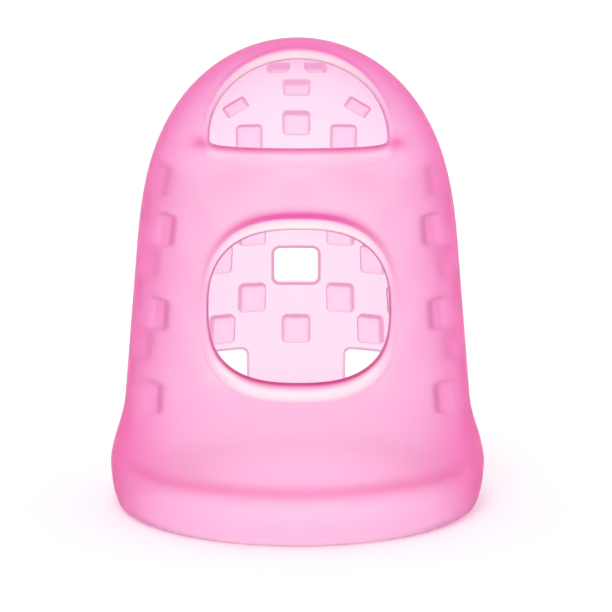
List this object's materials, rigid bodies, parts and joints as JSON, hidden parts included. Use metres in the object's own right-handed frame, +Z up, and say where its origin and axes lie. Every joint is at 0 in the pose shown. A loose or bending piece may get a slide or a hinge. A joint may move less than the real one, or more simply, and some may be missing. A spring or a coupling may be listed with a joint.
{
  "type": "guitar fingertip protector",
  "caption": "Soft translucent pink cap worn on a fingertip to guard it from guitar strings: domed, flared at the mouth, with a nail window, a pad window, vents and inner grip pips.",
  "frame": {"origin": "centre of the foot plane, on the axis of the cap", "axes": "+Z up along the axis from the foot to the crown; -Y out through the nail window and the pad window; +X to the right seen from the front"},
  "size_m": [0.0234, 0.0234, 0.029],
  "materials": {
    "silicone": "translucent satin silicone rubber, pale pink"
  },
  "bodies": {
    "root": {"finger_cap": "silicone"}
  },
  "joints": []
}
